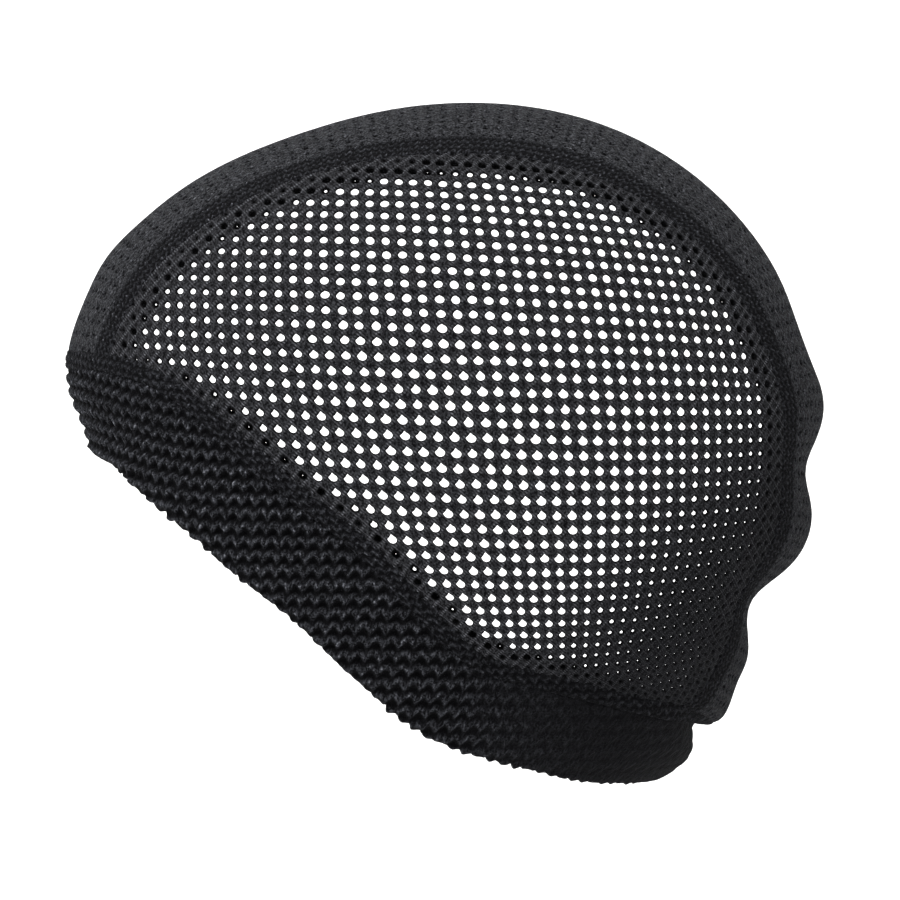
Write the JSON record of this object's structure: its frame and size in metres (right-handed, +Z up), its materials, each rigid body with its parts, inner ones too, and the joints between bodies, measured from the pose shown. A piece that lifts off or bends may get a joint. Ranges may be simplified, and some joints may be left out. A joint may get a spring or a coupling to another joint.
{
  "type": "wig cap",
  "caption": "Worn stretch-mesh dome cap: open net sides and crown strip joined by dense seams, with a wide doubled hem band that dips from the brow to the nape.",
  "frame": {"origin": "the crown seat: the inside of the cloth at the top of the dome, over the ear axis, where the top of a head meets it", "axes": "+Z up, -Y towards the face, +X towards the wearer's left ear"},
  "size_m": [0.1538, 0.2053, 0.1826],
  "materials": {
    "net": "matte black open knit, every third hole or so of its width open",
    "seam": "matte black dense sewn knit, finely speckled",
    "hem": "matte black doubled knit with chunky staggered stitches"
  },
  "bodies": {
    "root": {"crown_strip": "net", "crown_seam_left": "seam", "crown_seam_right": "seam", "side_net_left": "net", "side_net_right": "net", "hem_band": "hem", "hem_stitching": "seam"}
  },
  "joints": []
}
